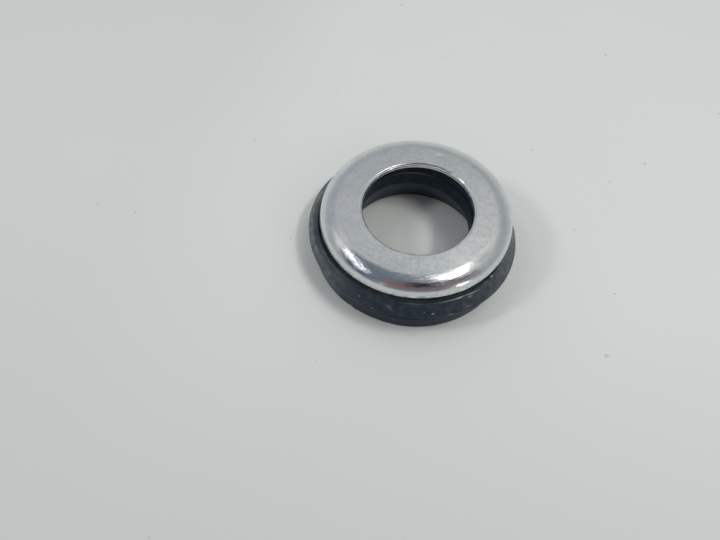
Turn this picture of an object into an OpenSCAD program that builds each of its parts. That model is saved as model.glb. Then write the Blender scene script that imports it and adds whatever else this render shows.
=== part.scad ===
// Seal for a flush-mounted parking sensor: a soft ring that grips the sensor's
// barrel and a panel's hole edge, dressed with a pressed and plated trim cap.
// Millimetres, +Z up. The origin is the centre of the ring's foot, on the
// surface that it stands on.

/* [Trim cap] */
// Diameter across the foot of the skirt
cap_d = 32; // [31:0.5:34]
// Height from the skirt's lower edge to the flat face
cap_h = 2.0; // [1.9:0.1:2.4]
// Thickness of the pressed sheet
sheet_t = 0.4; // [0.3:0.05:0.45]
// Diameter of the hole that the sensor's face fills
hole_d = 18.3; // [17:0.1:19.5]
// Outer radius of the bend at the hole's edge
hole_bend_r = 0.5; // [0.45:0.05:0.6]
// Depth of the lip turned down at the hole's edge, below the flat face
hole_lip_h = 0.8; // [0.7:0.05:0.85]
// Radius of the shoulder's wide upper curve
crown_r = 4.5; // [4:0.1:4.8]
// Radius of the shoulder's tight lower curve
edge_r = 1.2; // [0.9:0.1:1.3]
// Slope, from the horizontal, of the normal where the two curves meet
blend_angle = 56; // [54:1:62]
// Lean of the skirt from the vertical
skirt_taper = 12; // [6:1:16]
// How far the cap sits askew on the ring, in degrees
cap_tilt = 4.2; // [0:0.2:5]
// Direction of the cap's low side, anticlockwise from +X
cap_tilt_dir = 226; // [0:0.5:360]
// How far the cap sits off the ring's axis
cap_shift = 0.18; // [0:0.02:0.2]
// Direction of that shift, anticlockwise from +X
cap_shift_dir = 106; // [0:0.5:360]

/* [Seal ring] */
// Height from the foot to the top of the neck
seal_h = 8.7; // [8.5:0.1:9.6]
// Step back of the ring's bore from the edge of the cap's hole
bore_step = 0.25; // [0.15:0.05:0.4]
// Diameter of the flare inside, at the foot, which leads the sensor in
flare_d = 23.6; // [21:0.1:26]
// Height of the flare, from the foot up to the bore
flare_h = 5.5; // [4:0.1:6.5]
// Diameter of the lower lip, which goes through the panel
lip_d = 33.6; // [33:0.1:34.4]
// Height of the lower lip
lip_h = 2.1; // [1.8:0.1:2.3]
// Diameter of the groove's floor, which the panel's hole closes on
groove_d = 30.4; // [29:0.2:31.4]
// Width of the groove, which is the panel's thickness
groove_w = 2.0; // [1.7:0.1:2.1]
// Diameter of the flange at its widest
flange_d = 35.6; // [35:0.1:37]
// Radius of the flange's outer edge
flange_edge_r = 0.42; // [0.3:0.02:0.5]
// How far the flange's upper rim stands out past the cap's skirt
rim_out = 0.15; // [0.05:0.05:0.4]
// Radius of that rim
rim_r = 0.3; // [0.2:0.05:0.4]
// Drop of the ledge inside the rim, down to the neck
ledge_drop = 0.7; // [0.4:0.1:0.9]
// Radius of the small mould rounds on the other edges
mould_r = 0.3; // [0.2:0.05:0.4]

/* [Fits] */
// Room between the neck and the inside of the cap's skirt
neck_gap = 1.2; // [1:0.1:1.4]
// How far the neck's flat top ends short of the cap's shoulder
seat_inset = 0.25; // [0.2:0.05:0.4]
// Room left where the cap's low side comes down on the neck
seat_gap = 0.03; // [0.02:0.01:0.1]
// Room between the skirt's lowest edge and the flange's rim
rim_gap = 0.5; // [0.35:0.05:0.7]
// Room round the cap's turned-down lip, in the rebate that takes it
lip_room = 0.15; // [0.1:0.05:0.4]
// Room under that lip, with the cap level
lip_drop = 0.04; // [0.04:0.02:0.2]

/* [Hidden] */
$fn = 96;
bite = 1;                       // how far a cutting shape runs past what it cuts
lap_angle = 10;                 // how far the shoulder's wide curve runs on under the flat face
plating_colour = [0.76, 0.78, 0.80];
rubber_colour = [0.13, 0.14, 0.16];

// A unit vector in the section plane, where x is the radius and y the height
function unit(a) = [cos(a), sin(a)];

// Cap: its section, with y = 0 at the skirt's lower edge
cap_r = cap_d / 2;
hole_r = hole_d / 2;
skirt_h = cap_h - edge_r * (sin(blend_angle) - sin(skirt_taper)) - crown_r * (1 - sin(blend_angle));
skirt_top = [cap_r - skirt_h * tan(skirt_taper), skirt_h];
edge_centre = skirt_top - edge_r * unit(skirt_taper);
crown_centre = edge_centre - (crown_r - edge_r) * unit(blend_angle);
flat_r = crown_centre[0];       // where the flat face ends and the shoulder starts
hole_bend_centre = [hole_r + hole_bend_r, cap_h - hole_bend_r];

// Ring: heights and radii that follow from the cap and the fits
bore_r = hole_r + bore_step;
rebate_r = hole_r + sheet_t + cap_shift + lip_room;
rebate_z = seal_h - (hole_lip_h - sheet_t) - lip_drop;
flare_r = flare_d / 2;
lip_r = lip_d / 2;
groove_r = groove_d / 2;
flange_r = flange_d / 2;
neck_r = cap_r - sheet_t - neck_gap;
neck_flat_r = flat_r - seat_inset;
neck_round_r = neck_r - neck_flat_r;
flange_under = lip_h + groove_w;
flange_edge = [flange_r - flange_edge_r, flange_under + flange_edge_r];

// Seat: the cap's flat underside, tilted, touches the round of the neck's top.
// seat is the point of that underside on the cap's own axis.
shift_down = cap_shift * cos(cap_shift_dir - cap_tilt_dir) * tan(cap_tilt);
seat_z = seal_h - neck_round_r + neck_flat_r * tan(cap_tilt) + neck_round_r / cos(cap_tilt) + seat_gap - shift_down;
seat = [cap_shift * cos(cap_shift_dir), cap_shift * sin(cap_shift_dir), seat_z];
skirt_low_z = seat_z - cap_r * sin(cap_tilt) - (cap_h - sheet_t) * cos(cap_tilt);
rim_z = skirt_low_z - rim_gap;
rim_centre = [cap_r + rim_out - rim_r, rim_z - rim_r];

// Direction, from the centres of the flange's two edge rounds, of the points
// where the sloping face touches both
face_run = rim_centre - flange_edge;
face_normal = unit(atan2(face_run[1], face_run[0]) - acos((flange_edge_r - rim_r) / norm(face_run)));

// Part of a disc between two angles, which keeps its round side exact
module sector(centre, radius, from, to) {
    reach = 1.5 * radius;
    intersection() {
        translate(centre) circle(radius);
        polygon([centre, centre + reach * unit(from), centre + reach * unit(to)]);
    }
}

// Block from r_in to r_out and z_low to z_high, with its outer corners rounded
module slab(r_in, r_out, z_low, z_high, low_round, high_round) {
    translate([r_in, z_low + low_round]) square([r_out - r_in, z_high - z_low - low_round - high_round]);
    translate([r_in, z_low]) square([r_out - low_round - r_in, z_high - z_low - high_round]);
    translate([r_in, z_low + low_round]) square([r_out - high_round - r_in, z_high - z_low - low_round]);
    translate([r_out - low_round, z_low + low_round]) circle(low_round);
    translate([r_out - high_round, z_high - high_round]) circle(high_round);
}

// Everything under the cap's outer surface, drawn in by inset all over: the
// cap's sheet is what lies between this at no inset and at one thickness
module cap_envelope(inset) {
    skirt_foot = [cap_r, 0] + bite * [tan(skirt_taper), -1];
    lean = inset * unit(skirt_taper);
    // flat face, up to the shoulder
    translate([hole_bend_centre[0], -bite]) square([flat_r - hole_bend_centre[0], cap_h - inset + bite]);
    // hole edge: a bend and the wall below it
    translate(hole_bend_centre) circle(hole_bend_r - inset);
    translate([hole_r + inset, -bite]) square([flat_r - hole_r - inset, hole_bend_centre[1] + bite]);
    // shoulder: wide curve, then tight curve, then the leaning skirt. Each
    // shape overlaps the next, so that no hairline is left between them
    sector(crown_centre, crown_r - inset, blend_angle, 90 + lap_angle);
    translate(edge_centre) circle(edge_r - inset);
    polygon([[flat_r, -bite], skirt_foot - lean, skirt_top - lean, edge_centre]);
}

// Section of the pressed sheet
module cap_section() {
    difference() {
        cap_envelope(0);
        cap_envelope(sheet_t);
        translate([0, -crown_r]) square([cap_r + bite, crown_r]);
        translate([hole_r - bite, -bite]) square([sheet_t + 2 * bite, cap_h - hole_lip_h + bite]);
    }
}

// Pressed, plated cover: flat ring, rounded shoulder, short leaning skirt and
// a hole whose edge is turned down. It sits askew, low side on the neck.
module trim_cap() {
    color(plating_colour)
        translate(seat)
            rotate([0, 0, cap_tilt_dir]) rotate([0, cap_tilt, 0]) rotate([0, 0, -cap_tilt_dir])
                translate([0, 0, sheet_t - cap_h])
                    rotate_extrude() cap_section();
}

// Flange: an outer edge round, a face that slopes in to the upper rim, and a
// ledge that drops from the rim to the neck
module flange_section() {
    translate(flange_edge) circle(flange_edge_r);
    translate(rim_centre) circle(rim_r);
    polygon([
        [bore_r, flange_under],
        [flange_edge[0], flange_under],
        flange_edge,
        flange_edge + flange_edge_r * face_normal,
        rim_centre + rim_r * face_normal,
        rim_centre,
        rim_centre + [0, rim_r],
        [neck_r, rim_z - ledge_drop],
        [bore_r, rim_z - ledge_drop]
    ]);
}

// Space inside the ring: the barrel's bore, the rebate at its top for the
// cap's turned-down lip, and the flare that opens it towards the foot
module inner_section() {
    flare_run = bite * (flare_r - bore_r) / flare_h;
    translate([0, -bite]) square([bore_r, seal_h + 2 * bite]);
    translate([0, rebate_z]) square([rebate_r, seal_h - rebate_z + bite]);
    polygon([
        [0, -bite],
        [flare_r + flare_run, -bite],
        [bore_r - flare_run, flare_h + bite],
        [0, flare_h + bite]
    ]);
}

// Moulded soft ring: lower lip, groove for the panel, flange, and the neck
// that carries the cap
module seal_ring() {
    color(rubber_colour)
        rotate_extrude()
            difference() {
                union() {
                    slab(bore_r, lip_r, 0, lip_h, mould_r, mould_r);
                    translate([bore_r, 0]) square([groove_r - bore_r, flange_under + flange_edge_r]);
                    flange_section();
                    slab(bore_r, neck_r, flange_under, seal_h, mould_r, neck_round_r);
                }
                inner_section();
            }
}

trim_cap();
seal_ring();
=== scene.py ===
# %% [markdown]
# # A seal for a parking sensor
# The object is a soft black ring that grips a sensor's barrel and the edge of
# a panel's hole. A pressed and plated cap dresses its front, and has been
# pushed on slightly askew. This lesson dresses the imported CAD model: each of
# the two pieces is built again as a surface with its small wear and dents,
# then finished, lit, and looked at from above at a hand's width.

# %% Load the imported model
import math

import bpy
import numpy as np
from mathutils import Matrix


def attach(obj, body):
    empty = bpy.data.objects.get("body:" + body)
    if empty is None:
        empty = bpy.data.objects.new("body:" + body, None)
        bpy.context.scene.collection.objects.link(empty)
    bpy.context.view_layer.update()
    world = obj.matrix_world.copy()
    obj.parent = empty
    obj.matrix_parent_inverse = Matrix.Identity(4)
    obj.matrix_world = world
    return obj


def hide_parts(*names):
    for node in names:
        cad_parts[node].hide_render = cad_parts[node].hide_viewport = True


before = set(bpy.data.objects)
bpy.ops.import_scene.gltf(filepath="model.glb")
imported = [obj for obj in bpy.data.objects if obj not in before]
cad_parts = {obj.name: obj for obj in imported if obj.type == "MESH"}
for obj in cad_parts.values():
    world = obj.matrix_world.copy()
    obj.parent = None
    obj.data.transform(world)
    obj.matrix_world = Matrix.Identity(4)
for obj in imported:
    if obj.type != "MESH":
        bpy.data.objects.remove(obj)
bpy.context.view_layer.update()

# %% [markdown]
# ## A section is a row of points
# Both pieces are turned shapes, so each is one section carried round an axis.
# Sections are written in millimetres, as on a maker's drawing, with the radius
# first and the height second. Angles are in degrees, and those round the axis
# are counted from the right towards the back. A straight run and a round are
# enough for both drawings. Each function gives its points as a whole array, and
# `join` strings them into one closed outline that runs anticlockwise, so that
# its right-hand side is the outside.

# %% Sines and cosines of degrees
def sine(angle):
    """The sine of an angle in degrees."""
    return math.sin(math.radians(angle))


def cosine(angle):
    """The cosine of an angle in degrees."""
    return math.cos(math.radians(angle))


def tangent(angle):
    """The tangent of an angle in degrees."""
    return math.tan(math.radians(angle))


def polar(length, angle):
    """A vector of that length at that angle: length times (cosine, sine)."""
    return length * np.array([cosine(angle), sine(angle)])


# %% Straight runs, rounds and outlines
def run(start, end, count):
    """Points on a straight line: start plus t times (end less start), for t from 0 to 1."""
    t = np.linspace(0, 1, count)[:, None]
    return np.array(start) + t * (np.array(end) - np.array(start))


def round_off(centre, radius, from_angle, to_angle, count):
    """Points on an arc: the centre plus the radius times (cos, sin) of the angle."""
    a = np.radians(np.linspace(from_angle, to_angle, count))
    return np.array(centre) + radius * np.stack([np.cos(a), np.sin(a)], 1)


SAME_POINT = 1e-4                   # millimetres


def join(*stretches):
    """One closed outline, without the doubled points where two stretches meet."""
    points = np.concatenate(stretches)
    step = np.linalg.norm(points - np.roll(points, 1, 0), axis=1)
    return points[step > SAME_POINT]


def along(outline):
    """For each point, the length of outline up to it."""
    step = np.linalg.norm(np.diff(outline, axis=0), axis=1)
    return np.concatenate([[0], np.cumsum(step)])


def outward(outline):
    """For each point, the unit vector that points out of the closed outline:
    the chord between its neighbours, turned a quarter turn clockwise."""
    chord = np.roll(outline, -1, 0) - np.roll(outline, 1, 0)
    normal = np.stack([chord[:, 1], -chord[:, 0]], 1)
    return normal / np.linalg.norm(normal, axis=1, keepdims=True)


# %% [markdown]
# ## From a section to a solid surface
# A Screw modifier could turn the section, but then nothing could differ from
# one side of the ring to the other. Here the surface is a grid, with one row
# for each point of the section and one column for each angle, so a dent or a
# nick is a number added to the grid. The grid closes on itself both ways, like
# a doughnut, so it has no seam to weld and no pole.

# %% The grid's faces, its marks and the volume inside
MM = 0.001                          # a millimetre, in Blender's metres
COLUMNS = 640                       # points in one turn


def grid_faces(rows):
    """The corners of each face, where point (i, j) of the grid is number
    i times COLUMNS plus j, and the last row and column meet the first."""
    i, j = np.meshgrid(np.arange(rows), np.arange(COLUMNS), indexing="ij")
    i2, j2 = (i + 1) % rows, (j + 1) % COLUMNS
    corners = [i * COLUMNS + j, i * COLUMNS + j2, i2 * COLUMNS + j2, i2 * COLUMNS + j]
    return np.stack(corners, -1).reshape(-1, 4)


def keep(mesh, mark, kind, field, values):
    """Keeps a value of each point on the mesh, for the finish to read."""
    data = mesh.attributes.new(mark, kind, "POINT").data
    data.foreach_set(field, values.astype(np.float32).ravel())


def volume(mesh):
    """The volume inside a closed mesh, in cubic millimetres: a sixth of the sum,
    over its triangles, of corner 1 dot (corner 2 cross corner 3). It is positive
    where the faces point outwards."""
    mesh.calc_loop_triangles()
    corner = np.zeros(3 * len(mesh.loop_triangles), np.int32)
    mesh.loop_triangles.foreach_get("vertices", corner)
    co = np.zeros(3 * len(mesh.vertices), np.float32)
    mesh.vertices.foreach_get("co", co)
    p = co.reshape(-1, 3).astype(float)[corner.reshape(-1, 3)] / MM
    return float(np.einsum("ij,ij->i", p[:, 0], np.cross(p[:, 1], p[:, 2])).sum() / 6)


# %% Carry a section round the axis
def turned(name, outline, lift, slip, marks, place=(np.eye(3), np.zeros(3))):
    """The surface whose point at (angle a, outline point i) is (r cos a, r sin a, z).
    There (r, z) is the outline's point pushed out along its normal by lift, and then
    moved outwards and upwards by the two numbers of slip. place is the rotation and
    the shift that follow. Each point keeps its marks, and a track, which is (cos a,
    sin a, millimetres along the outline), for the finish to follow."""
    angle = np.linspace(0, 2 * np.pi, COLUMNS, endpoint=False)
    a, s = np.meshgrid(angle, along(outline))
    normal, push, (out, up) = outward(outline), lift(a, s, outline), slip(a, outline)
    r = outline[:, :1] + normal[:, :1] * push + out
    z = outline[:, 1:] + normal[:, 1:] * push + up
    turn, shift = place
    points = np.stack([r * np.cos(a), r * np.sin(a), z], -1) @ turn.T + shift
    mesh = bpy.data.meshes.new(name)
    mesh.from_pydata((points.reshape(-1, 3) * MM).tolist(), [], grid_faces(len(outline)).tolist())
    mesh.polygons.foreach_set("use_smooth", np.ones(len(mesh.polygons), bool))
    keep(mesh, "track", "FLOAT_VECTOR", "vector", np.stack([np.cos(a), np.sin(a), s], -1))
    for mark, value in marks.items():
        keep(mesh, mark, "FLOAT", "value", np.broadcast_to(value(a, s, outline), a.shape))
    mesh.update()
    piece = bpy.data.objects.new(name, mesh)
    bpy.context.scene.collection.objects.link(piece)
    print(f"{name}: {len(outline)} x {COLUMNS} points, {2 * len(mesh.polygons)} triangles,",
          f"inside volume {volume(mesh):.1f} mm3")
    return piece


# %% [markdown]
# ## Unevenness
# No pressed sheet or moulded ring is perfectly true. A few waves of different
# lengths, added together, give a slow unevenness that shows only as a slight
# wobble in a reflection. A dent or a nick is one soft bump at one place.

# %% Waves, dents and soft steps
WAVE_COUNT = 7


def waves(a, s, seed, height, around, length):
    """A sum of waves: each is cos(k a + q s + phase), with k up to `around` waves a
    turn and q up to one wave in `length` millimetres. The sum is about `height` high."""
    draw = np.random.default_rng(seed)
    total = np.zeros_like(a)
    for k in draw.integers(1, around + 1, WAVE_COUNT):
        q = draw.uniform(-1, 1) * 2 * np.pi / length
        total += np.cos(k * a + q * s + draw.uniform(0, 2 * np.pi))
    return height * total / math.sqrt(WAVE_COUNT)


def lobe(a, middle, wide):
    """A soft stretch of the turn, 1 in its middle: exp(-(x/wide)^2), where x is the
    angle from the middle. Both are in degrees."""
    x = np.mod(np.degrees(a) - middle + 180, 360) - 180
    return np.exp(-((x / wide) ** 2))


def spot(a, s, at_angle, at_length, radius, wide, long):
    """A soft spot: a lobe `wide` millimetres across at that radius, times
    exp(-(y/long)^2), where y is the distance along the outline."""
    y = s - at_length
    return lobe(a, at_angle, math.degrees(wide / radius)) * np.exp(-((y / long) ** 2))


def rise(x, start, end):
    """0 before start, 1 after end, and a smooth 3t^2 - 2t^3 between."""
    t = np.clip((x - start) / (end - start), 0, 1)
    return t * t * (3 - 2 * t)


# %% [markdown]
# ## The cap's section
# A press forms the cap from one sheet: a flat face, a shoulder of two curves, a
# short skirt, and a lip turned down round the hole. The inside follows the
# outside at the sheet's thickness, so the same curves are drawn twice, once at
# full radius and once less the sheet. Cut edges get a tiny round, because a
# truly sharp edge never catches the light as the real one does. The CAD model
# holds the same numbers, and they are written out here because this file reads
# nothing but the model.

# %% The cap's numbers
SHEET = 0.4                         # the sheet's thickness
CAP_R, CAP_H = 16.0, 2.0
HOLE_R, HOLE_BEND, HOLE_LIP = 9.15, 0.5, 0.8
CROWN, EDGE = 4.5, 1.2              # the shoulder's wide and tight curves
BLEND, TAPER = 56.0, 12.0           # degrees: where they meet, and the skirt's lean
BURR = 0.07                         # the round on a cut edge

skirt_h = CAP_H - EDGE * (sine(BLEND) - sine(TAPER)) - CROWN * (1 - sine(BLEND))
skirt_top = np.array([CAP_R - skirt_h * tangent(TAPER), skirt_h])
edge_at = skirt_top - polar(EDGE, TAPER)             # the tight curve's centre
crown_at = edge_at - polar(CROWN - EDGE, BLEND)      # the wide curve's centre
bend_at = np.array([HOLE_R + HOLE_BEND, CAP_H - HOLE_BEND])
lip_foot = CAP_H - HOLE_LIP
skirt_in = skirt_top - polar(SHEET, TAPER)
foot_out = np.array([CAP_R, 0.0])
foot_in = np.array([skirt_in[0] + skirt_in[1] * tangent(TAPER), 0.0])
print(f"cap: skirt {skirt_h:.3f} mm high, flat face out to {crown_at[0]:.3f} mm")

# %% Draw the cap
cap_outline = join(
    # the inside, from the skirt's foot to the lip
    run(foot_in + [0, BURR], skirt_in, 5),
    round_off(edge_at, EDGE - SHEET, TAPER, BLEND, 9),
    round_off(crown_at, CROWN - SHEET, BLEND, 90, 9),
    run([crown_at[0], CAP_H - SHEET], [bend_at[0], CAP_H - SHEET], 6),
    round_off(bend_at, HOLE_BEND - SHEET, 90, 180, 5),
    run([HOLE_R + SHEET, bend_at[1]], [HOLE_R + SHEET, lip_foot + BURR], 3),
    # the lip's cut edge
    round_off([HOLE_R + SHEET - BURR, lip_foot + BURR], BURR, 0, -90, 4),
    round_off([HOLE_R + BURR, lip_foot + BURR], BURR, -90, -180, 4),
    # the outside, from the lip to the skirt's foot
    run([HOLE_R, lip_foot + BURR], [HOLE_R, bend_at[1]], 3),
    round_off(bend_at, HOLE_BEND, 180, 90, 14),
    run([bend_at[0], CAP_H], [crown_at[0], CAP_H], 22),
    round_off(crown_at, CROWN, 90, BLEND, 24),
    round_off(edge_at, EDGE, BLEND, TAPER, 16),
    run(skirt_top, foot_out + [-BURR * tangent(TAPER), BURR], 6),
    # the skirt's cut edge
    round_off(foot_out + [-BURR, BURR], BURR, 0, -90, 4),
    round_off(foot_in + [BURR, BURR], BURR, -90, -180, 4),
)[::-1]
cap_length = along(cap_outline)
face_rows = np.abs(cap_outline[:, 1] - CAP_H) < SAME_POINT
FACE_OUT, FACE_IN = cap_length[face_rows].min(), cap_length[face_rows].max()
print(f"cap outline: {len(cap_outline)} points,",
      f"flat face from {FACE_OUT:.2f} to {FACE_IN:.2f} mm along it")

# %% [markdown]
# ## The cap, made and set askew
# The press leaves slow waves in the sheet. The skirt's foot was trimmed after
# that, so its edge wanders by a few hundredths of a millimetre, and the punch
# made the hole a quarter of a millimetre off the middle. One small dent with a
# raised rim sits near the far side of the flat face. Two marks go with the
# surface for its finish: where it is satin, and how near the cut edge it is.

# %% Wear and marks of the cap
PRESS_WAVES = {"seed": 4, "height": 0.0035, "around": 9, "length": 9.0}
TRIM_WAVES = {"seed": 5, "height": 0.010, "around": 60, "length": 3.0}
TRIM_DEPTHS = (1.2, 2.0)            # below the face: where that wander starts and is whole
DENT_ANGLE, DENT_R = 81.0, 11.84
DENT_DEEP, DENT_RIM = 0.062, 0.016
HOLE_OFF = 0.24                     # how far the hole stands off the middle
HOLE_OFF_RADII = (9.8, 12.6)        # where that starts to fade and is gone


def face_at(r):
    """How far along the outline the flat face has that radius."""
    return FACE_OUT + crown_at[0] - r


def cap_wear(a, s, outline):
    """Waves left by the press, the trimmed edge's wander, and the dent in its rim."""
    at = (DENT_ANGLE, face_at(DENT_R), DENT_R)
    dent = DENT_DEEP * spot(a, s, *at, wide=0.46, long=0.36)
    rim = DENT_RIM * spot(a, s, *at, wide=0.75, long=0.62)
    trimmed = rise(CAP_H - outline[:, 1:], *TRIM_DEPTHS)
    return waves(a, s, **PRESS_WAVES) + trimmed * waves(a, s, **TRIM_WAVES) - dent + rim


def punch_slip(a, outline):
    """The hole's offset: HOLE_OFF times cos(a), fading to none across the flat face."""
    return HOLE_OFF * (1 - rise(outline[:, :1], *HOLE_OFF_RADII)) * np.cos(a), 0.0


def satin(a, s, outline):
    """1 on the flat face, 0 on the shoulder and the lip, soft between."""
    out = rise(s, FACE_OUT - 0.30, FACE_OUT + 0.10)
    return out * (1 - rise(s, FACE_IN - 0.15, FACE_IN + 0.25))


def near_edge(a, s, outline):
    """1 at the skirt's foot, 0 from a millimetre above it."""
    return (outline[:, :1] > crown_at[0]) * (1 - rise(outline[:, 1:], 0.2, 1.0))


# %% [markdown]
# The cap is tipped in three steps: a turn that brings its low side onto the x
# axis, a lean about the y axis, and the same turn back. The lean then has a
# direction, but the marks stay where they are round the cap. It is tipped about
# the middle of its underside, which rests on the ring's round top.

# %% Turn the cap
TILT, TILT_TO = 4.2, 226.0          # degrees: how far the cap leans, and which way
SEAT = np.array([-0.0496, 0.1730, 9.6687])           # the middle of its underside


def turn_z(angle):
    """The rotation by that angle, in degrees, about the z axis."""
    c, s = cosine(angle), sine(angle)
    return np.array([[c, -s, 0], [s, c, 0], [0, 0, 1]])


def turn_y(angle):
    """The rotation by that angle, in degrees, about the y axis."""
    c, s = cosine(angle), sine(angle)
    return np.array([[c, 0, s], [0, 1, 0], [-s, 0, c]])


cap_turn = turn_z(TILT_TO) @ turn_y(TILT) @ turn_z(-TILT_TO)
cap_shift = SEAT + cap_turn @ np.array([0, 0, SHEET - CAP_H])
trim = turned("trim_cap_plated", cap_outline, cap_wear, punch_slip,
              {"satin": satin, "near_edge": near_edge}, (cap_turn, cap_shift))

# %% [markdown]
# ## The ring's section
# The ring is moulded in one shot. From the foot up it has a lower lip that goes
# through the panel, a groove that the panel's edge closes on, a flange with a
# sloping face, and a neck that carries the cap. Inside, a flare leads the
# sensor's barrel into the bore, and a shallow rebate at the bore's top takes
# the cap's turned-down lip. The sloping face is tangent to the rounds at both
# its ends, so its angle is worked out from the two rounds' centres and radii.

# %% The ring's numbers
SEAL_H, BORE_R = 8.7, 9.4
REBATE_R, REBATE_Z = 9.88, 8.26     # the step at the bore's top
FLARE_R, FLARE_H = 11.8, 5.5        # the cone that opens the bore to the foot
LIP_R, LIP_H, MOULD = 16.8, 2.1, 0.3                 # the lower lip and its round
GROOVE_R, GROOVE_TOP = 15.2, 4.1
FLANGE_EDGE, FLANGE_EDGE_R = (17.38, 4.52), 0.42     # a round's centre and radius
RIM, RIM_R = (15.85, 6.1012), 0.3                    # the same
RIM_END = 141.5                     # degrees: where the rim's round meets the ledge
LEDGE = (14.4, 5.7012)              # the ledge's foot, on the neck
NECK_R, NECK_ROUND = 14.4, 1.7723
SOFT, EDGE_SOFT = 0.12, 0.07        # the rounds that a mould leaves in corners

between = np.array(RIM) - np.array(FLANGE_EDGE)
face_angle = math.degrees(math.atan2(between[1], between[0])
                          - math.acos((FLANGE_EDGE_R - RIM_R) / np.linalg.norm(between)))
neck_flat = NECK_R - NECK_ROUND
print(f"ring: the sloping face looks out {face_angle:.2f} degrees above level")

# %% Draw the ring
ring_outline = join(
    # foot and lower lip
    run([FLARE_R + SOFT, 0], [LIP_R - MOULD, 0], 8),
    round_off([LIP_R - MOULD, MOULD], MOULD, -90, 0, 7),
    run([LIP_R, MOULD], [LIP_R, LIP_H - MOULD], 8),
    round_off([LIP_R - MOULD, LIP_H - MOULD], MOULD, 0, 90, 7),
    # groove
    run([LIP_R - MOULD, LIP_H], [GROOVE_R + SOFT, LIP_H], 4),
    round_off([GROOVE_R + SOFT, LIP_H + SOFT], SOFT, -90, -180, 4),
    round_off([GROOVE_R + SOFT, GROOVE_TOP - SOFT], SOFT, 180, 90, 4),
    run([GROOVE_R + SOFT, GROOVE_TOP], [FLANGE_EDGE[0], GROOVE_TOP], 6),
    # flange: edge, sloping face, rim and ledge
    round_off(FLANGE_EDGE, FLANGE_EDGE_R, -90, face_angle, 12),
    run(np.array(FLANGE_EDGE) + polar(FLANGE_EDGE_R, face_angle),
        np.array(RIM) + polar(RIM_R, face_angle), 16),
    round_off(RIM, RIM_R, face_angle, RIM_END, 9),
    run(np.array(RIM) + polar(RIM_R, RIM_END), LEDGE, 5),
    # neck and its round top
    run(LEDGE, [NECK_R, SEAL_H - NECK_ROUND], 5),
    round_off([neck_flat, SEAL_H - NECK_ROUND], NECK_ROUND, 0, 90, 12),
    run([neck_flat, SEAL_H], [REBATE_R + SOFT, SEAL_H], 5),
    # rebate for the cap's lip
    round_off([REBATE_R + SOFT, SEAL_H - SOFT], SOFT, 90, 180, 4),
    run([REBATE_R, SEAL_H - SOFT], [REBATE_R, REBATE_Z], 3),
    run([REBATE_R, REBATE_Z], [BORE_R + EDGE_SOFT, REBATE_Z], 4),
    round_off([BORE_R + EDGE_SOFT, REBATE_Z - EDGE_SOFT], EDGE_SOFT, 90, 180, 4),
    # bore and flare
    run([BORE_R, REBATE_Z - EDGE_SOFT], [BORE_R, FLARE_H], 10),
    run([BORE_R, FLARE_H], [FLARE_R, 0], 20),
)
ring_length = along(ring_outline)
print(f"ring outline: {len(ring_outline)} points, {ring_length[-1]:.1f} mm long")

# %% [markdown]
# Marks on the ring are placed by an angle and a height. The outline's length
# at a height is read off the outline itself, once for the flange's outside and
# once for the wall inside, because most heights occur on both.

# %% Find a height on the ring
TOP_WIDTH = 3.0                     # along the outline, from where the top starts to past it


def flange_at(z):
    """How far along the outline the flange's outside has that height."""
    rows = (ring_outline[:, 1] > GROOVE_TOP + 0.02) & (ring_outline[:, 0] > RIM[0])
    return float(np.interp(z, ring_outline[rows, 1], ring_length[rows]))


def inner_at(z):
    """How far along the outline the bore's and flare's wall has that height."""
    rows = ring_length > ring_length[np.argmax(ring_outline[:, 1])] + TOP_WIDTH
    return float(np.interp(-z, -ring_outline[rows, 1], ring_length[rows]))


print(f"rim at {flange_at(RIM[1]):.2f} mm along, flare's start at {inner_at(FLARE_H):.2f} mm")

# %% [markdown]
# ## The ring, made and worn
# Rubber of this kind comes out of its mould a little wavy. A small torn flake
# stands on the rim towards the right, the lower lip has a nick at the front
# left, and two short cuts lie on the flange's face at the front. Being soft, the
# ring is also out of round: its flare stands to one side, its rim is worn back
# at the left, and at the front the lip is bent up towards the flange, so that
# from above the groove shows only as a thin line.

# %% Wear of the ring
MOULD_WAVES = {"seed": 11, "height": 0.022, "around": 11, "length": 12.0}
SKIN_WAVES = {"seed": 12, "height": 0.006, "around": 40, "length": 3.0}
THIN_RADII = (14.6, 16.5)           # from the stiff body to the thin lip and flange
FLAKE_ANGLE, FLAKE_Z, FLAKE_OUT = -28.8, 6.39, 0.16
NICK_ANGLE, NICK_DEEP = -115.0, 0.14
CUTS, CUT_DEEP = [(-93.0, 5.62), (-92.0, 5.31)], 0.05                    # angle and height
SITS = (0.0, 0.05)                  # heights over which the wear fades in from the flat foot


def ring_wear(a, s, outline):
    """Waves of the moulding, strongest on the thin lip and flange, with the
    torn flake, the nick and the two cuts. The foot stays flat."""
    thin = rise(outline[:, :1], *THIN_RADII)
    worn = thin * waves(a, s, **MOULD_WAVES) + waves(a, s, **SKIN_WAVES)
    worn += FLAKE_OUT * spot(a, s, FLAKE_ANGLE, flange_at(FLAKE_Z), 16, wide=0.28, long=0.14)
    lip = float(ring_length[np.argmax(ring_outline[:, 0] >= LIP_R - SAME_POINT)])
    worn -= NICK_DEEP * spot(a, s, NICK_ANGLE, lip, LIP_R, wide=0.35, long=0.5)
    for angle, height in CUTS:
        worn -= CUT_DEEP * spot(a, s, angle, flange_at(height), 16.8, wide=0.34, long=0.12)
    return worn * rise(outline[:, 1:], *SITS)


# %% The ring out of round
FLARE_OFF = 1.05                    # the flare's full shift to one side, 0.9 of it at the foot
FLARE_OFF_HEIGHTS = (-2.0, REBATE_Z - 1)             # where it is full and where it is gone
RIM_WORN = 0.50                     # how far the rim is worn back at the left
DOWN_SLOPE = (0.733, -0.680)        # the way down the flange's sloping face


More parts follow.
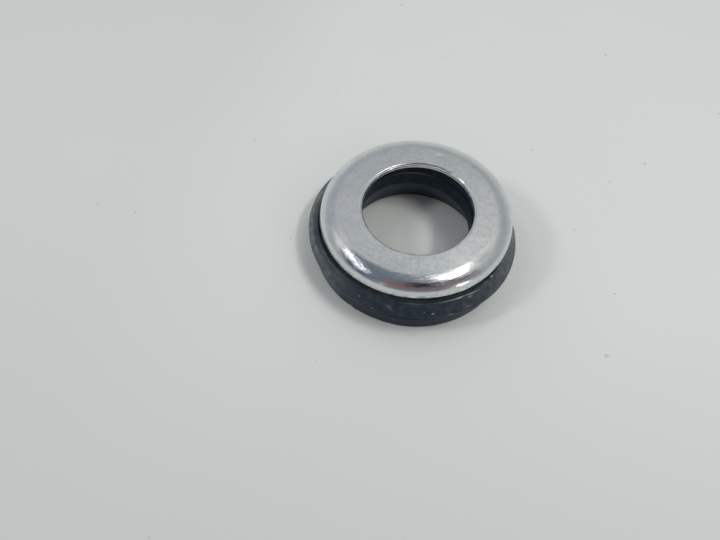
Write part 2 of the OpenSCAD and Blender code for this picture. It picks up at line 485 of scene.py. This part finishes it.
def ring_slip(a, outline):
    """Three ways in which the soft ring isn't round, each a height's or radius's
    rise times a lobe of the turn. The flare stands to one side, more towards the
    foot. The rim is worn back along the sloping face at the left. The flange's
    lower edge and the lip's upper edge are lifted at the front."""
    r, z = outline[:, :1], outline[:, 1:]
    flare = FLARE_OFF * (r < FLARE_R + 0.2) * (1 - rise(z, *FLARE_OFF_HEIGHTS)) * np.cos(a)
    worn = RIM_WORN * lobe(a, -158, 58) * rise(z, 4.9, 5.9) * rise(r, 14.6, 15.5)
    flange = 0.42 * lobe(a, -79, 30) * (1 - rise(z, 4.5, 5.6))
    lip = (0.74 * lobe(a, -79, 75) - 0.10 * lobe(a, -77, 15)) * rise(z, 0.5, 1.9)
    lifted = rise(r, 15.3, 16.5) * np.where(z > LIP_H + 0.5, flange, lip)
    return flare + DOWN_SLOPE[0] * worn, lifted + DOWN_SLOPE[1] * worn


def bloom(a, s, outline):
    """Where the skin has turned grey, with dust: the outside at the left, the right and
    the back, where the grey is partly painted light from the side windows. Painted
    shade keeps it down close under the cap at the left, and it is paler on the ledge
    at the front. It is a sum of lobes, held to 1."""
    r, z = outline[:, :1], outline[:, 1:]
    # the left and right lobes are partly painted light from the side windows
    sides = np.minimum(1, lobe(a, -172, 42) + 0.6 * lobe(a, 4, 44) + 0.5 * lobe(a, 90, 60))
    # painted shade close under the cap at the left
    sides = sides * (1 - 0.75 * lobe(a, -158, 34) * rise(z, 5.5, 6.0))
    ledge = rise(r, 14.3, 14.6) * (1 - rise(r, RIM[0] - 0.3, RIM[0])) * (z > LEDGE[1] - 0.1)
    return (r > RIM[0] - 0.05) * sides + 0.65 * ledge * lobe(a, -80, 70)


# %% Turn the ring
seal = turned("seal_ring_rubber", ring_outline, ring_wear, ring_slip, {"bloom": bloom})

# %% [markdown]
# ## Writing shader maths as Python
# A finish is mostly arithmetic on numbers that change over the surface. This
# small class holds one socket, and each operator on it adds the Math node that
# does the sum, so `1 - mask` is an expression and not a drawing of boxes.

# %% One class for sockets
class Wire:
    """A socket of a node tree. Arithmetic on it adds Math nodes."""

    def __init__(self, tree, socket=None):
        self.tree, self.socket = tree, socket

    def node(self, kind, settings=None, inputs=None, out=0):
        """Adds a node of that type. Its settings come first, then the values or
        wires of its sockets, and the wire of its output `out` comes back."""
        made = self.tree.nodes.new(kind)
        for key, value in (settings or {}).items():
            if key == "stops":
                while len(made.color_ramp.elements) < len(value):
                    made.color_ramp.elements.new(0.5)
                for stop, (at, colour) in zip(made.color_ramp.elements, value):
                    stop.position, stop.color = at, colour
            else:
                setattr(made, key, value)
        for key, value in (inputs or {}).items():
            self.put(made.inputs[key], value)
        return Wire(self.tree, made.outputs[out])

    def put(self, socket, value):
        """Puts a number, a colour or a wire on a socket."""
        if isinstance(value, Wire):
            self.tree.links.new(value.socket, socket)
        else:
            socket.default_value = value

    def math(self, operation, *values):
        """One Math node on one or two numbers."""
        return self.node("ShaderNodeMath", {"operation": operation}, dict(enumerate(values)))

    def __add__(self, other): return self.math("ADD", self, other)
    def __sub__(self, other): return self.math("SUBTRACT", self, other)
    def __rsub__(self, other): return self.math("SUBTRACT", other, self)
    def __mul__(self, other): return self.math("MULTIPLY", self, other)
    def __truediv__(self, other): return self.math("DIVIDE", self, other)
    def __pow__(self, other): return self.math("POWER", self, other)
    __radd__, __rmul__ = __add__, __mul__

    def span(self, start, end):
        """0 where this is start, 1 where it is end, smooth between and held outside."""
        return self.node("ShaderNodeMapRange", {"interpolation_type": "SMOOTHSTEP"},
                         {"Value": self, "From Min": start, "From Max": end})

    def part(self, axis):
        """One component of a vector, 0, 1 or 2."""
        return self.node("ShaderNodeSeparateXYZ", None, {0: self}, axis)

    def stretched(self, scale):
        """A vector times another, component by component."""
        return self.node("ShaderNodeVectorMath", {"operation": "MULTIPLY"}, {0: self, 1: scale})

    def noise(self, scale, detail=2.0, roughness=0.5):
        """Soft noise, about 0.5, at this place. The scale is in cells for one unit."""
        return self.node("ShaderNodeTexNoise", None, {"Vector": self, "Scale": scale,
                         "Detail": detail, "Roughness": roughness})

    def mark(self, name, out="Fac"):
        """A mark that the mesh keeps: a number, or a vector where out is "Vector"."""
        return self.node("ShaderNodeAttribute", {"attribute_name": name}, out=out)

    def mix(self, low, high):
        """A colour: low where this is 0 and high where it is 1."""
        return self.node("ShaderNodeMix", {"data_type": "RGBA"}, {0: self, 6: low, 7: high}, 2)


# %% Starting a finish
def rgb(r, g, b):
    """A colour as a shader takes it."""
    return (r, g, b, 1.0)


def finish_for(name):
    """A new material, its tree as a Wire, and its Principled shader."""
    material = bpy.data.materials.new(name)
    material.use_nodes = True
    tree = material.node_tree
    shader = next(n for n in tree.nodes if n.type == "BSDF_PRINCIPLED")
    return material, Wire(tree), shader


def feed(wire, shader, **inputs):
    """Puts numbers, colours or wires on the shader's sockets."""
    for key, value in inputs.items():
        wire.put(shader.inputs[key.replace("_", " ")], value)


# %% [markdown]
# ## Plating
# The cap is bright plating over pressed sheet. Its flat face is finely pitted,
# so it reflects as satin, while the shoulder and the lip were polished by the
# press and show a clear picture of the room. Both are one metal, so only the
# roughness and the small bumps differ, by the satin mark on the mesh. The press
# has dragged lines round the shoulder, and handling has left finer scratches.
# Object coordinates are metres, so a noise of scale 5200 has 5.2 cells in a
# millimetre. On the track, the first two numbers of a stretch are cells for one
# radius round the cap and the third is cells in a millimetre along the outline.

# %% Patterns of the plating
plating, wire, shader = finish_for("bright plating")
track = wire.mark("track", "Vector")
satin_mask = wire.mark("satin")
edge_mask = wire.mark("near_edge")
place = wire.node("ShaderNodeTexCoord", out="Object")

grain = place.noise(5200, 3, 0.6)                    # the finest pits
mottle = place.noise(1500, 3, 0.65)                  # patches half a millimetre wide
cloud = place.noise(420, 3, 0.55)                    # patches a few millimetres wide
streaks = track.stretched((9, 9, 5)).noise(1.0, 4, 0.65)
scratches = track.stretched((2.5, 2.5, 30)).noise(1.0, 2, 0.6).span(0.56, 0.72)
drag = track.stretched((4.5, 4.5, 5.5)).noise(1.0, 3, 0.6).span(0.38, 0.62)
pit_lines = track.stretched((16, 16, 6)).noise(1.0, 3, 0.7).span(0.51, 0.58)

# dark pits: a few over the whole cap, many in rows near the cut edge
freckle = place.noise(2600, 2, 0.5).span(0.66, 0.74) * (0.25 + 0.75 * edge_mask)
foot_pits = place.noise(3600, 2, 0.6).span(0.58, 0.66) * 0.5 + pit_lines * 0.6
freckle = freckle + foot_pits * edge_mask

# %% Plate the cap
BRIGHT, CLOUDY = rgb(0.808, 0.823, 0.823), rgb(0.748, 0.763, 0.772)
MOTTLED, PITTED = rgb(0.690, 0.712, 0.722), rgb(0.20, 0.21, 0.23)
PLATE_RELIEF = 0.00002              # metres: how high the bumps stand

plate_rough = 0.04 + (0.035 * streaks + 0.05 * scratches) * (1 - 0.8 * satin_mask) \
    + satin_mask * (0.10 + 0.06 * cloud + 0.05 * grain) + 0.25 * freckle
pits = grain * (0.06 + 0.30 * satin_mask) + 0.05 * scratches \
    + streaks * (1.10 - 1.06 * satin_mask) + mottle * (0.10 + 0.85 * satin_mask) \
    + drag * (0.45 - 0.45 * satin_mask)
plate_bump = wire.node("ShaderNodeBump", None,
                       {"Strength": 0.6, "Distance": PLATE_RELIEF, "Height": pits}, "Normal")
plate_colour = cloud.span(0.35, 0.65).mix(CLOUDY, BRIGHT)
mottled = mottle.span(0.42, 0.62) * (0.2 + 0.5 * satin_mask)
plate_colour = mottled.mix(plate_colour, MOTTLED)
plate_colour = wire.math("MINIMUM", freckle, 0.75).mix(plate_colour, PITTED)
feed(wire, shader, Base_Color=plate_colour, Metallic=1.0, Roughness=plate_rough,
     Normal=plate_bump)
trim.data.materials.append(plating)
print("plating:", len(plating.node_tree.nodes), "nodes")

# %% [markdown]
# ## Rubber
# Moulded black rubber is a dark, slightly blue body under a waxy skin. At a
# glancing angle the skin and its dust turn grey, which is what a sheen is for.
# The mould was turned on a lathe, so fine lines run round the ring. It was also
# polished across, which leaves short hairs down the flange's sloping face, most
# of them on the right. Where the finish changes from part to part of the ring,
# a mask is read from the track or the height.

# %% Patterns of the rubber
rubber, wire, shader = finish_for("moulded rubber")
track = wire.mark("track", "Vector")
grey_skin_light_shade_mask = wire.mark("bloom")
place = wire.node("ShaderNodeTexCoord", out="Object")
down = track.part(2)                                 # millimetres along the outline
turn = wire.math("ARCTAN2", track.part(1), track.part(0))

lathe_lines = track.stretched((2, 2, 7)).noise(1.0, 3, 0.6)
on_right = track.part(0).span(-0.3, 0.5)
on_face = down.span(flange_at(4.3), flange_at(4.7))
hair_lines = track.stretched((110, 110, 0.6)).noise(1.0, 2, 0.6) \
    * (0.15 + 0.85 * on_right) * (0.2 + 0.8 * on_face)
dust = place.noise(900, 4, 0.62)
skin = dust.span(0.35, 0.75)
patches = place.noise(230, 2, 0.5)
blotches = place.noise(800, 2, 0.6)
lint = place.noise(3300, 1, 0.5).span(0.70, 0.78)

# %% Parts of the ring
# flare_mask lays painted light on the flare, the pale band that faces the lit floor
flare_mask = down.span(inner_at(FLARE_H) - 0.35, inner_at(FLARE_H) + 0.35)
# bore_mask lays painted shade on the bore's wall, darker than the rest of the rubber
bore_mask = down.span(inner_at(REBATE_Z) - 0.3, inner_at(REBATE_Z)) * (1 - flare_mask)
# the flare's painted light fades towards the foot: painted shade where the floor by the wall is
# shaded
flare_mask = flare_mask * (1 - 0.75 * down.span(inner_at(3.4), inner_at(1.6)))
below_flange = place.part(2).span(4.6 * MM, 3.6 * MM) * down.span(14.0, 13.0)

# %% [markdown]
# ### Scuffs, and a painted highlight
# Each small mark on the rubber is the same soft shape with its own place and
# size, so they are a table. The torn flake and the two cuts are pale as well,
# since torn rubber shows its filler. The rim is scuffed where it was gripped.
# The same shape paints a highlight along the rebate's top edge in the bore.

# %% Scuff the rubber and paint a highlight
def soft_mark(angle, at, wide, tall, climb=0.0):
    """A soft mark: exp(-4 (x^2 + y^2)), where x is the angle from the middle over
    `wide` degrees, and y the distance along the outline over `tall` millimetres.
    It climbs by `climb` millimetres a degree."""
    x = (turn - math.radians(angle)) * (180 / math.pi)
    y = (down - at + x * climb) / tall
    return wire.math("EXPONENT", 0 - ((x / wide) ** 2 + y ** 2) * 4)


SCUFFS = [                          # angle, height, wide, tall, climb, strength
    (-93.0, 5.62, 2.6, 0.13, 0.08, 0.45), (-92.0, 5.31, 1.8, 0.13, 0.09, 0.40),      # cuts
    (-69.8, 5.16, 1.2, 0.18, 0.0, 0.9), (-74.2, 5.38, 0.9, 0.16, 0.0, 0.35),         # specks
    (-109.5, 5.44, 1.0, 0.18, 0.0, 0.55), (-101.0, 4.70, 0.9, 0.18, 0.0, 0.3),
    (-53.2, 6.33, 1.9, 0.22, 0.0, 1.2), (-56.0, 6.35, 14.0, 0.16, 0.0, 0.90),        # the rim
    (-45.0, 6.22, 7.0, 0.16, 0.02, 0.8), (-47.5, 6.0, 3.0, 0.14, 0.03, 0.7),
    (-131.0, 5.14, 3.0, 0.16, 0.27, 0.4), (-60.0, 4.75, 4.0, 0.22, 0.05, 0.3),       # the face
    (-50.0, 5.05, 3.0, 0.16, 0.06, 0.35), (-80.0, 6.34, 14.0, 0.12, 0.0, 0.22)]

scuffs_and_highlight = soft_mark(FLAKE_ANGLE, flange_at(FLAKE_Z), 1.6, 0.35)
for angle, height, wide, tall, climb, strength in SCUFFS:
    scuffs_and_highlight = scuffs_and_highlight + soft_mark(angle, flange_at(height), wide, tall, climb) * strength
scuffs_and_highlight = scuffs_and_highlight * (0.35 + 1.2 * track.stretched((60, 60, 3)).noise(1.0, 2, 0.6))
# painted highlight: a pale line along the rebate's top edge inside the bore
painted_rebate_highlight = soft_mark(102.0, inner_at(REBATE_Z - 0.08), 38.0, 0.26)
scuffs_and_highlight = scuffs_and_highlight + 0.22 * painted_rebate_highlight
print("scuffs:", len(SCUFFS) + 2)

# %% [markdown]
# ### The rubber's colour
# The colours are laid one over another, each by its own mask: the skin, the
# lathe's lines and blotches, painted shade in the bore, painted light on the
# flare, painted shade below the flange, the grey skin that is partly painted
# light on the sides, lint, and the scuffed spots with a painted highlight on top.

# %% Cure the rubber
DEEP, SKIN = rgb(0.007, 0.014, 0.024), rgb(0.017, 0.028, 0.043)
LATHED, BLOTCHED = rgb(0.042, 0.058, 0.078), rgb(0.046, 0.058, 0.072)
# painted shade for the bore, and painted light for the flare
PAINTED_BORE_SHADE, PAINTED_FLARE_LIGHT = rgb(0.002, 0.009, 0.021), rgb(0.046, 0.070, 0.106)
# SHADED is painted shade below the flange; the grey is partly painted light on the sides
SHADED, GREY_SKIN_AND_SIDE_LIGHT = rgb(0.008, 0.015, 0.028), rgb(0.27, 0.285, 0.295)
# the pale grey of the scuffed spots, also used for the painted highlight in the bore
LINT, SCUFF_AND_HIGHLIGHT_GREY = rgb(0.16, 0.17, 0.18), rgb(0.42, 0.44, 0.46)
RUBBER_RELIEF = 0.00004             # metres: how high the bumps stand

# the grey skin, partly dust and partly painted light on the sides
grey = grey_skin_light_shade_mask * (0.35 + 0.35 * skin + 0.35 * hair_lines.span(0.4, 0.7)
                     + 0.3 * patches.span(0.4, 0.65))
rubber_colour = skin.mix(DEEP, SKIN)
for mask, colour in [
        (lathe_lines.span(0.45, 0.75) * 0.6, LATHED), (blotches.span(0.45, 0.75) * 0.5, BLOTCHED),
        (0.9 * bore_mask, PAINTED_BORE_SHADE), (flare_mask * (0.45 + 0.4 * skin), PAINTED_FLARE_LIGHT),
        (0.65 * below_flange, SHADED), (wire.math("MINIMUM", grey, 1.0), GREY_SKIN_AND_SIDE_LIGHT),
        (0.5 * lint, LINT), (wire.math("MINIMUM", scuffs_and_highlight, 1.0), SCUFF_AND_HIGHLIGHT_GREY)]:
    rubber_colour = mask.mix(rubber_colour, colour)

rubber_rough = 0.50 + 0.14 * skin + 0.08 * hair_lines
grooves = 0.45 * lathe_lines + 0.45 * hair_lines + 0.35 * dust + 0.5 * scuffs_and_highlight
rubber_bump = wire.node("ShaderNodeBump", None,
                        {"Strength": 0.6, "Distance": RUBBER_RELIEF, "Height": grooves}, "Normal")
feed(wire, shader, Base_Color=rubber_colour, Roughness=rubber_rough, Normal=rubber_bump,
     IOR=1.4, Specular_IOR_Level=0.38,
     Sheen_Weight=0.06, Sheen_Roughness=0.35, Sheen_Tint=rgb(0.62, 0.78, 0.96))
seal.data.materials.append(rubber)
print("rubber:", len(rubber.node_tree.nodes), "nodes")

# %% [markdown]
# ## Floor
# The table is a pale matt laminate. It has to stay quiet, so it is one large
# sheet with a colour that hardly varies and a few specks of dust. Painted shade
# darkens it towards the near edge, and a little towards the left. It lies a
# hair below the foot, so that the two surfaces don't share a plane.

# %% Lay the floor
FLOOR_HALF, FLOOR_Z = 2.0, -0.00003                  # metres
CORNERS = ((-1, -1), (1, -1), (1, 1), (-1, 1))

floor_mesh = bpy.data.meshes.new("floor")
floor_mesh.from_pydata([(x * FLOOR_HALF, y * FLOOR_HALF, FLOOR_Z) for x, y in CORNERS],
                       [], [(0, 1, 2, 3)])
floor = bpy.data.objects.new("floor", floor_mesh)
bpy.context.scene.collection.objects.link(floor)
print("floor:", 2 * FLOOR_HALF, "m wide")

# %% Colour the floor
CREAM, PALE = rgb(0.826, 0.847, 0.822), rgb(0.868, 0.886, 0.860)
PAINTED_SHADE_NEAR, PAINTED_SHADE_LEFT = rgb(0.672, 0.684, 0.666), rgb(0.715, 0.730, 0.708)
DUST = rgb(0.42, 0.39, 0.38)
DUST_AT = [(20.54, 30.38, 0.22), (4.08, 4.48, 0.16)]     # across, away and size

laminate, wire, shader = finish_for("pale laminate")
place = wire.node("ShaderNodeTexCoord", out="Object")
tone = place.noise(38, 3, 0.5) * 0.7 + place.noise(1500, 2, 0.6) * 0.3
specks = place.noise(560, 0, 0.5).span(0.862, 0.885)
for x, y, size in DUST_AT:
    away = ((place.part(0) - x * MM) ** 2 + (place.part(1) - y * MM) ** 2) / (size * MM) ** 2
    specks = specks + 1.7 * wire.math("EXPONENT", 0 - away)
laminate_colour = tone.mix(CREAM, PALE)
# painted shade: darker towards the near edge and a little towards the left
for mask, colour in [(0.9 * place.part(1).span(0.010, -0.075), PAINTED_SHADE_NEAR),
                     (0.5 * place.part(0).span(-0.018, -0.055), PAINTED_SHADE_LEFT), (0.35 * specks, DUST)]:
    laminate_colour = mask.mix(laminate_colour, colour)
feed(wire, shader, Base_Color=laminate_colour, Roughness=0.62)
floor_mesh.materials.append(laminate)
print("laminate:", len(laminate.node_tree.nodes), "nodes")

# %% [markdown]
# ## The room
# A mirror-bright shoulder shows the whole room, so the room matters as much as
# the metal. It is drawn in the world by direction, as a bearing and a height in
# degrees: pale walls that darken upwards, a ceiling, and a dark side at the
# front with a few coloured things in it. A camera ray sees plain pale grey
# instead, so this room shows only as light and in reflections.

# %% Directions in the room
world = bpy.data.worlds.new("room")
bpy.context.scene.world = world
world.use_nodes = True
wire = Wire(world.node_tree)
toward = wire.node("ShaderNodeTexCoord", out="Generated")
bearing = wire.math("ARCTAN2", toward.part(1), toward.part(0)) * (180 / math.pi)
height = wire.math("ARCSINE", toward.part(2)) * (180 / math.pi)


def patch(west, east, low, high, soft):
    """1 for directions between two bearings and two heights, with soft edges: for
    each of the two, a smooth step up times 1 less a smooth step up further on."""
    across = bearing.span(west - soft, west + soft) * (1 - bearing.span(east - soft, east + soft))
    below = 1 - height.span(high - soft, high + soft)
    return across * height.span(low - soft, low + soft) * below


def shade(value, warm=0.0):
    """A grey of that brightness, cool where warm is 0."""
    return rgb(value * (0.955 + warm), value, value * (1.015 - warm))


# %% Paint the walls and the ceiling
WALL = [                            # height, brightness, warmth
    (-60, 0.66, 0.0), (-20, 0.62, 0.0), (2, 0.59, 0.0), (15, 0.56, 0.0), (24, 0.46, 0.0),
    (34, 0.39, 0.0), (42, 0.39, 0.0), (49, 0.43, 0.0), (53, 0.51, 0.01), (58, 0.62, 0.02),
    (66, 0.62, 0.02)]

stops = [((h + 90) / 180, shade(value, warm)) for h, value, warm in WALL]
room = wire.node("ShaderNodeValToRGB", {"stops": stops}, {"Fac": (height + 90) / 180})
overhead = height.span(61, 66) * toward.part(0).span(0.07, 0.0)
ripple = toward.noise(7.0, 3, 0.6)
rippled = ripple.span(0.3, 0.7).mix(rgb(0.14, 0.12, 0.13), rgb(0.25, 0.21, 0.23))
for mask, colour in [
        # the back wall, the dark ceiling over the left half, and panels of it
        (0.5 * patch(105, 160, 20, 60, 14), rgb(0.40, 0.41, 0.47)),
        (0.6 * patch(115, 176, -12, 20, 6), shade(0.66)),
        (0.97 * overhead, rgb(0.17, 0.20, 0.235)),
        (0.8 * patch(158, 196, 44, 55, 5), rgb(0.92, 0.92, 0.82)),
        (0.25 * patch(20, 90, 53, 68, 7), rgb(0.82, 0.82, 0.78)),
        (0.7 * patch(30, 50, 56, 64, 3), shade(0.28)),
        # the dark side at the front, and what stands in it
        (0.9 * patch(-154, -48, 32, 60, 6), rgb(0.18, 0.185, 0.20)),
        (0.97 * patch(-152, 2, 43, 86, 5), rippled),
        (0.95 * patch(-172, -122, 40, 84, 4), rgb(0.15, 0.18, 0.23)),
        (0.8 * patch(-160, -136, 38, 46, 3), rgb(0.04, 0.04, 0.06)),
        (0.9 * patch(-118, -96, 55, 74, 4), rgb(0.26, 0.13, 0.12)),
        (0.95 * patch(-95, -48, 61, 81, 2), rgb(0.022, 0.020, 0.034))]:
    room = mask.mix(room, colour)

# %% Hide the room from the camera
camera_ray = wire.node("ShaderNodeLightPath", out="Is Camera Ray")
background = next(n for n in world.node_tree.nodes if n.type == "BACKGROUND")
wire.put(background.inputs["Color"], camera_ray.mix(room, rgb(0.72, 0.74, 0.73)))
wire.put(background.inputs["Strength"], 1.0)
print("room:", len(world.node_tree.nodes), "nodes")

# %% [markdown]
# ## Windows
# Five lights stand for the room's windows, its ceiling panels and a lamp. Each
# is placed by its bearing and height as seen from the object, and sized by the
# angle it fills, so the bright shapes on the shoulder fall where they should.
# Two stronger lights, a key and a fill, give the rubber and the floor their
# light and the soft shadow. They are hidden from reflections, because the
# plating has its own windows. A light's power is its brightness times its area
# times pi.

# %% Hang the lights
LIGHT_DISTANCE = 0.7                # metres


def window(name, bearing, height, wide, tall, brightness, colour, lean=0.0):
    """An area light that fills wide by tall degrees at that bearing and height:
    each side is twice the distance times the tangent of half its angle."""
    w, h = (2 * LIGHT_DISTANCE * tangent(angle / 2) for angle in (wide, tall))
    lamp = bpy.data.lights.new(name, "AREA")
    lamp.shape, lamp.size, lamp.size_y = "RECTANGLE", w, h
    lamp.energy = brightness * w * h * math.pi
    lamp.color = colour
    holder = bpy.data.objects.new(name, lamp)
    holder.matrix_world = Matrix.Rotation(math.radians(bearing + 90), 4, "Z") \
        @ Matrix.Rotation(math.radians(90 - height), 4, "X") \
        @ Matrix.Translation((0, 0, LIGHT_DISTANCE)) \
        @ Matrix.Rotation(math.radians(lean), 4, "Z")
    holder.visible_camera = False
    bpy.context.scene.collection.objects.link(holder)
    return holder


window("ceiling panel, right", 30, 74.5, 16, 10.5, 2.9, (1.0, 0.99, 0.96))
window("window, left", -168, 58.5, 21, 3.5, 4.4, (0.97, 0.99, 1.0))
window("ceiling panel, back", 74, 66.5, 12, 2.5, 1.5, (1.0, 1.0, 0.98), lean=-18)
window("window, front right", -30, 31, 7, 20, 3.0, (0.98, 1.0, 1.0))
window("lamp, front left", -117, 42, 1.6, 4.5, 3.0, (1.0, 1.0, 1.0))
for light in (window("key light", -3, 63, 22, 6, 18.0, (0.975, 0.99, 0.955)),
              window("fill light", -157, 42, 10, 8, 19.0, (0.98, 1.0, 1.0))):
    light.visible_glossy = False
print("lights:", len(bpy.data.lights))

# %% [markdown]
# ## Camera
# The camera is about a hand's width away, looking down. It starts by looking
# straight down and is turned in three steps: a small roll about its own line of
# sight, a tilt towards level, and a turn to its heading.

# %% Set the camera
CAMERA_AT = (0.0, -58.611 * MM, 77.869 * MM)
HEADING, TILT_UP, ROLL = 8.05, 33.35, 5.97           # degrees
SENSOR, LENS = 36.0, 27.05          # millimetres, as a camera states them

camera_data = bpy.data.cameras.new("camera")
camera_data.sensor_width, camera_data.lens = SENSOR, LENS
camera_data.clip_start, camera_data.clip_end = 0.005, 20.0
camera = bpy.data.objects.new("camera", camera_data)
camera.matrix_world = Matrix.Translation(CAMERA_AT) \
    @ Matrix.Rotation(math.radians(HEADING), 4, "Z") \
    @ Matrix.Rotation(math.radians(TILT_UP), 4, "X") \
    @ Matrix.Rotation(math.radians(ROLL), 4, "Z")
bpy.context.scene.collection.objects.link(camera)
bpy.context.scene.camera = camera
bpy.context.scene.view_settings.view_transform = "Standard"
print(f"camera {math.dist(CAMERA_AT, (0, 0, 0)) / MM:.0f} mm from the ring's foot")

# %% [markdown]
# ## Put the pieces in place
# Each piece stands in for its CAD node and rides on the one body.

# %% Finish
for piece, node, slot in ((trim, "trim_cap", "trim_plating"), (seal, "seal_ring", "seal_rubber")):
    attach(piece, "root")
    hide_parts(node)
